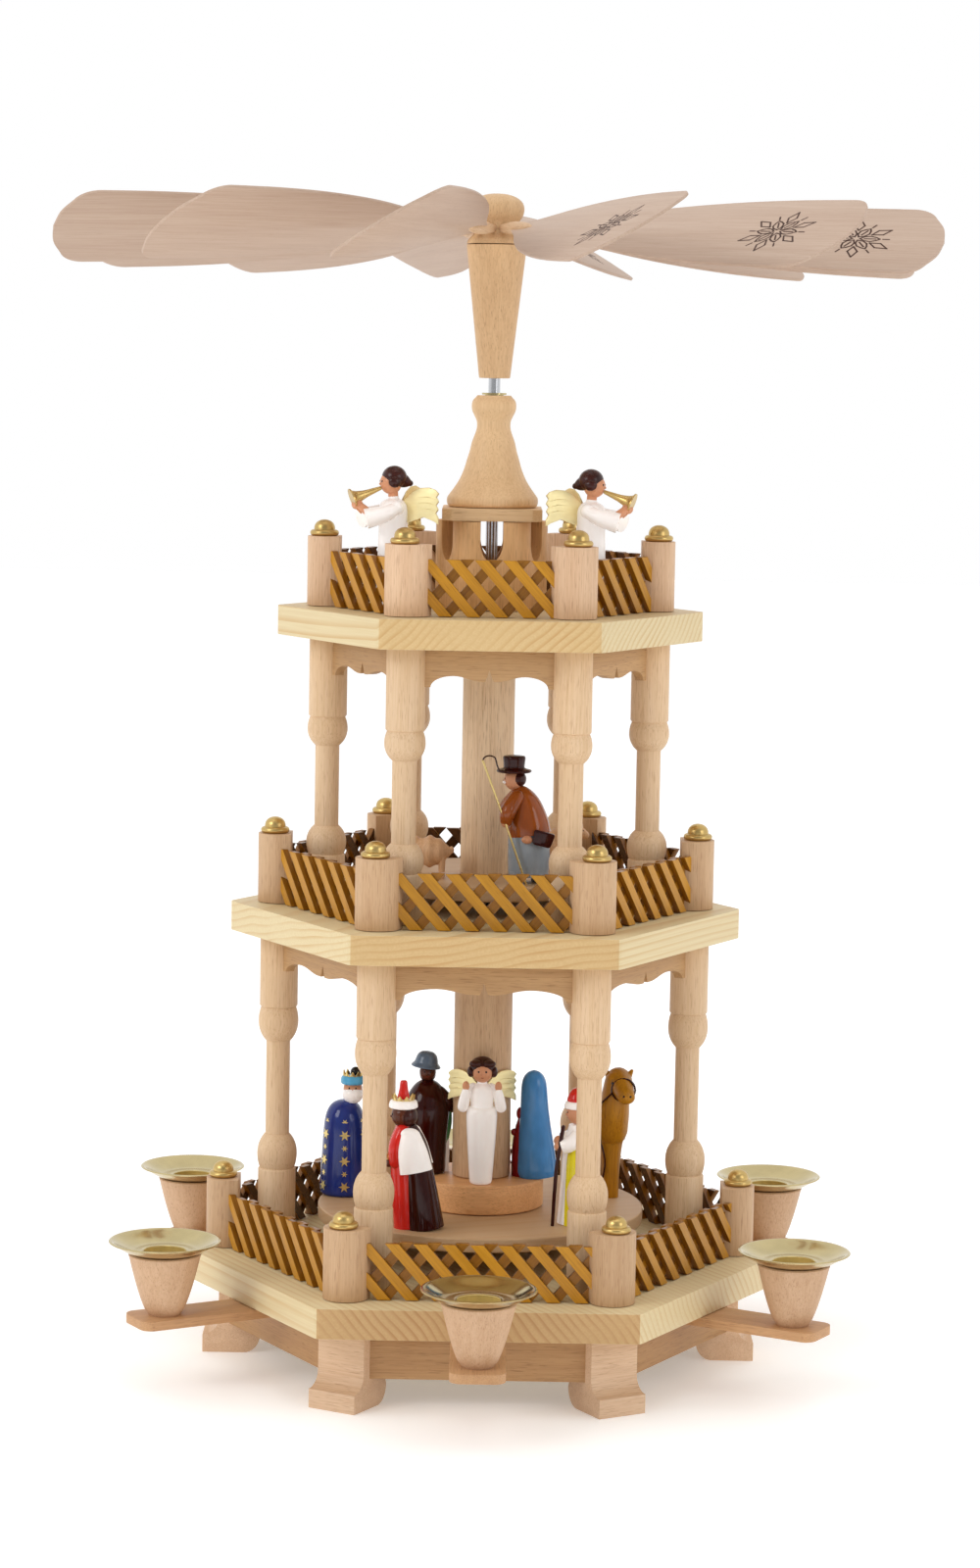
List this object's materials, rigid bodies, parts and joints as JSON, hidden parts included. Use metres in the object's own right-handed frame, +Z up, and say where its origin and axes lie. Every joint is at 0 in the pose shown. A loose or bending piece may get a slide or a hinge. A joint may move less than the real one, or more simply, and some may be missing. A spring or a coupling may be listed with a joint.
{
  "type": "candle carousel",
  "caption": "Three-tier hexagonal wooden candle carousel; rising warm air turns a bladed wheel, a rod and figure turntables behind lattice fences.",
  "frame": {"origin": "centre of the footprint, on the floor plane that the feet stand on", "axes": "+Z up along the rod; the flat front side of the hexagon faces -Y; +X to the viewer's right"},
  "size_m": [0.3706, 0.3706, 0.4999],
  "materials": {
    "pine_board": "bare sanded, satin",
    "beech_turned": "bare turned, satin",
    "bare_turned_wood": "bare turned, satin",
    "stained_lattice": "stained lattice, beech posts and gilt caps",
    "blade_veneer": "bare veneer",
    "brass": "polished",
    "polished_steel": "polished",
    "blue_paint": "gloss paint",
    "sky_blue_paint": "gloss paint",
    "red_paint": "gloss paint",
    "yellow_paint": "gloss paint",
    "brown_paint": "gloss paint",
    "rust_brown_paint": "gloss paint",
    "white_paint": "gloss paint",
    "ochre_stain": "stained"
  },
  "bodies": {
    "frame": {"base_board": "pine_board", "middle_board": "pine_board", "top_board": "pine_board", "base_frame": "beech_turned", "lower_colonnade": "beech_turned", "upper_colonnade": "beech_turned", "lower_fence": "stained_lattice", "middle_fence": "stained_lattice", "upper_fence": "stained_lattice", "turret_drum": "beech_turned", "turret_cornice": "beech_turned", "bell_roof": "beech_turned", "top_bush": "brass", "bearing_cup": "brass", "trumpet_angel_1": "white_paint", "trumpet_angel_2": "white_paint", "candle_arm_1": "beech_turned", "drip_pan_1": "brass", "candle_arm_2": "beech_turned", "drip_pan_2": "brass", "candle_arm_3": "beech_turned", "drip_pan_3": "brass", "candle_arm_4": "beech_turned", "drip_pan_4": "brass", "candle_arm_5": "beech_turned", "drip_pan_5": "brass", "candle_arm_6": "beech_turned", "drip_pan_6": "brass"},
    "rotor": {"shaft_rod": "polished_steel", "lower_turntable": "pine_board", "middle_turntable": "pine_board", "dais": "beech_turned", "lower_sleeve": "bare_turned_wood", "middle_sleeve": "bare_turned_wood", "hub_cone": "bare_turned_wood", "hub_cap": "bare_turned_wood", "king_blue": "blue_paint", "king_red": "red_paint", "king_yellow": "yellow_paint", "camel": "ochre_stain", "joseph": "brown_paint", "mary": "sky_blue_paint", "dais_angel": "white_paint", "child": "rust_brown_paint", "shepherd": "brown_paint", "sheep_1": "ochre_stain", "sheep_2": "ochre_stain"},
    "blade_01": {"blade_01": "blade_veneer"},
    "blade_02": {"blade_02": "blade_veneer"},
    "blade_03": {"blade_03": "blade_veneer"},
    "blade_04": {"blade_04": "blade_veneer"},
    "blade_05": {"blade_05": "blade_veneer"},
    "blade_06": {"blade_06": "blade_veneer"},
    "blade_07": {"blade_07": "blade_veneer"},
    "blade_08": {"blade_08": "blade_veneer"},
    "blade_09": {"blade_09": "blade_veneer"},
    "blade_10": {"blade_10": "blade_veneer"},
    "blade_11": {"blade_11": "blade_veneer"},
    "blade_12": {"blade_12": "blade_veneer"}
  },
  "joints": [
    {"name": "rotor_spin", "type": "hinge", "parent": "frame", "child": "rotor", "pos_m": [0, 0, 0.1], "axis": [0, 0, 1], "continuous": true},
    {"name": "blade_pitch_01", "type": "hinge", "parent": "rotor", "child": "blade_01", "pos_m": [0, 0, 0.4855], "axis": [0.9722, -0.2334, -0.0209], "range_deg": [-15, 15]},
    {"name": "blade_pitch_02", "type": "hinge", "parent": "rotor", "child": "blade_02", "pos_m": [0, 0, 0.4855], "axis": [0.9586, 0.284, -0.0209], "range_deg": [-15, 15]},
    {"name": "blade_pitch_03", "type": "hinge", "parent": "rotor", "child": "blade_03", "pos_m": [0, 0, 0.4855], "axis": [0.6882, 0.7252, -0.0209], "range_deg": [-15, 15]},
    {"name": "blade_pitch_04", "type": "hinge", "parent": "rotor", "child": "blade_04", "pos_m": [0, 0, 0.4855], "axis": [0.2334, 0.9722, -0.0209], "range_deg": [-15, 15]},
    {"name": "blade_pitch_05", "type": "hinge", "parent": "rotor", "child": "blade_05", "pos_m": [0, 0, 0.4855], "axis": [-0.284, 0.9586, -0.0209], "range_deg": [-15, 15]},
    {"name": "blade_pitch_06", "type": "hinge", "parent": "rotor", "child": "blade_06", "pos_m": [0, 0, 0.4855], "axis": [-0.7252, 0.6882, -0.0209], "range_deg": [-15, 15]},
    {"name": "blade_pitch_07", "type": "hinge", "parent": "rotor", "child": "blade_07", "pos_m": [0, 0, 0.4855], "axis": [-0.9722, 0.2334, -0.0209], "range_deg": [-15, 15]},
    {"name": "blade_pitch_08", "type": "hinge", "parent": "rotor", "child": "blade_08", "pos_m": [0, 0, 0.4855], "axis": [-0.9586, -0.284, -0.0209], "range_deg": [-15, 15]},
    {"name": "blade_pitch_09", "type": "hinge", "parent": "rotor", "child": "blade_09", "pos_m": [0, 0, 0.4855], "axis": [-0.6882, -0.7252, -0.0209], "range_deg": [-15, 15]},
    {"name": "blade_pitch_10", "type": "hinge", "parent": "rotor", "child": "blade_10", "pos_m": [0, 0, 0.4855], "axis": [-0.2334, -0.9722, -0.0209], "range_deg": [-15, 15]},
    {"name": "blade_pitch_11", "type": "hinge", "parent": "rotor", "child": "blade_11", "pos_m": [0, 0, 0.4855], "axis": [0.284, -0.9586, -0.0209], "range_deg": [-15, 15]},
    {"name": "blade_pitch_12", "type": "hinge", "parent": "rotor", "child": "blade_12", "pos_m": [0, 0, 0.4855], "axis": [0.7252, -0.6882, -0.0209], "range_deg": [-15, 15]}
  ]
}
